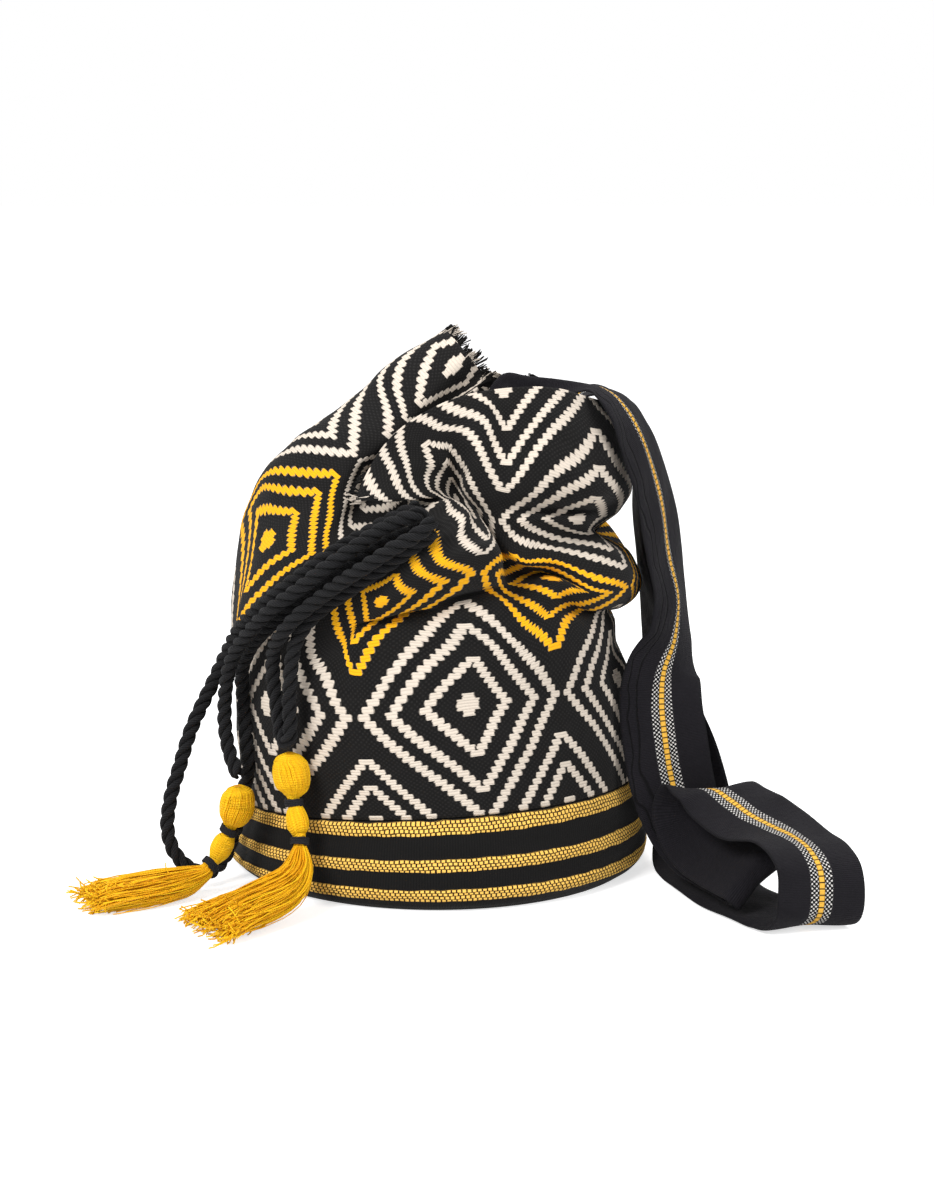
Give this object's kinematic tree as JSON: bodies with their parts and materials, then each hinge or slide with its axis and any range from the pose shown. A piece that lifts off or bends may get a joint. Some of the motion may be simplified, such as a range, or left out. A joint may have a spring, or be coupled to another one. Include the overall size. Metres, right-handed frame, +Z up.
{
  "type": "drawstring bucket bag",
  "caption": "Slumped woven drawstring bucket bag with stepped diamond pattern, striped foot, flat shoulder strap and twisted cords with yellow tassels.",
  "frame": {"origin": "centre of the bag's round underside, on the surface it stands on", "axes": "+Z up, -Y towards the side with the cords, +X towards the side that the strap hangs over"},
  "size_m": [0.4584, 0.3232, 0.3313],
  "materials": {
    "body_cloth": "woven, matt",
    "band_cloth": "woven, matt",
    "floor_cloth": "woven, matt",
    "strap_cloth": "woven, matt",
    "cord_rope": "twisted, matt",
    "tassel_yarn": "silky yarn",
    "tie_thread": "thread, matt"
  },
  "bodies": {
    "root": {"bag_body": "body_cloth", "base_band": "band_cloth", "base_disc": "floor_cloth", "shoulder_strap": "strap_cloth", "drawcord_left": "cord_rope", "drawcord_front": "cord_rope", "tassel_front": "tassel_yarn", "tassel_front_upper_tie": "tie_thread", "tassel_front_lower_tie": "tie_thread", "tassel_left": "tassel_yarn", "tassel_left_upper_tie": "tie_thread", "tassel_left_lower_tie": "tie_thread"}
  },
  "joints": []
}
